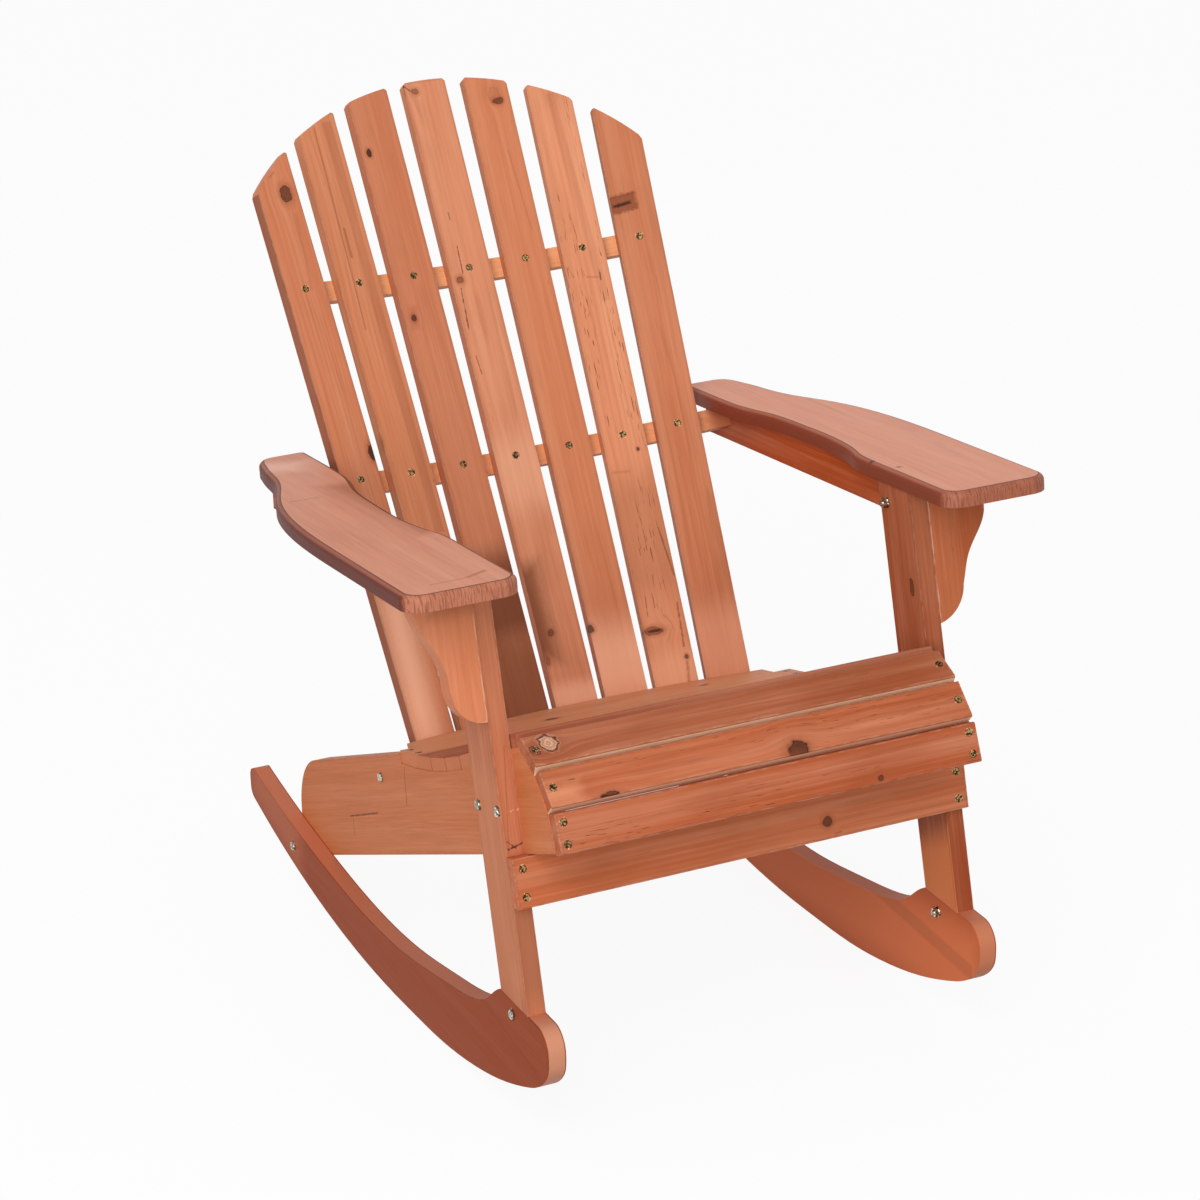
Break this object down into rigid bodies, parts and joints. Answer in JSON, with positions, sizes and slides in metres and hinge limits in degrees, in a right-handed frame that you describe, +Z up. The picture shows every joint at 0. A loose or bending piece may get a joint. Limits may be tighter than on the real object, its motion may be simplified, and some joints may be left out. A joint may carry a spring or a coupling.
{
  "type": "rocking chair",
  "caption": "Outdoor wooden rocking chair with a fanned, hollowed slat back, scooped slat seat, broad shaped arms and curved rocker boards.",
  "frame": {"origin": "on the floor, under the middle of the chair's width and depth", "axes": "+Z up, +Y towards the back, +X towards the sitter's left; the sitter faces -Y"},
  "size_m": [0.7684, 0.9443, 0.9715],
  "materials": {
    "back_wood": "reddish stained softwood with open grain and knots, satin",
    "seat_wood": "reddish stained softwood with eased edges, satin",
    "arm_wood": "reddish stained softwood, smooth rounded edge, satin",
    "rocker_wood": "darker reddish stained softwood, satin",
    "frame_wood": "reddish stained softwood boards with finger joints, satin",
    "dowel_wood": "plain fluted hardwood dowel, unfinished",
    "screw_metal": "yellow plated wood screws with a cross recess",
    "bolt_metal": "bright plated steel bolts, nuts and washers"
  },
  "bodies": {
    "root": {"apron_screws": "screw_metal", "arm_bracket_left": "frame_wood", "arm_bracket_right": "frame_wood", "arm_left": "arm_wood", "arm_right": "arm_wood", "arm_screws": "screw_metal", "arm_support_left": "frame_wood", "arm_support_right": "frame_wood", "back_batten_lower": "frame_wood", "back_batten_middle": "frame_wood", "back_batten_upper": "frame_wood", "back_slat_1": "back_wood", "back_slat_2": "back_wood", "back_slat_3": "back_wood", "back_slat_4": "back_wood", "back_slat_5": "back_wood", "back_slat_6": "back_wood", "back_slat_7": "back_wood", "back_slat_screws": "screw_metal", "batten_lag_screws": "bolt_metal", "bolt_nuts": "bolt_metal", "bolt_washers": "bolt_metal", "bracket_dowels": "dowel_wood", "frame_bolts": "bolt_metal", "front_apron": "frame_wood", "front_leg_left": "frame_wood", "front_leg_right": "frame_wood", "rocker_left": "rocker_wood", "rocker_right": "rocker_wood", "rocker_tenon_bolts": "bolt_metal", "seat_rail_left": "frame_wood", "seat_rail_right": "frame_wood", "seat_slat_1": "seat_wood", "seat_slat_10": "seat_wood", "seat_slat_11": "seat_wood", "seat_slat_2": "seat_wood", "seat_slat_3": "seat_wood", "seat_slat_4": "seat_wood", "seat_slat_5": "seat_wood", "seat_slat_6": "seat_wood", "seat_slat_7": "seat_wood", "seat_slat_8": "seat_wood", "seat_slat_9": "seat_wood", "seat_slat_screws": "screw_metal"}
  },
  "joints": []
}
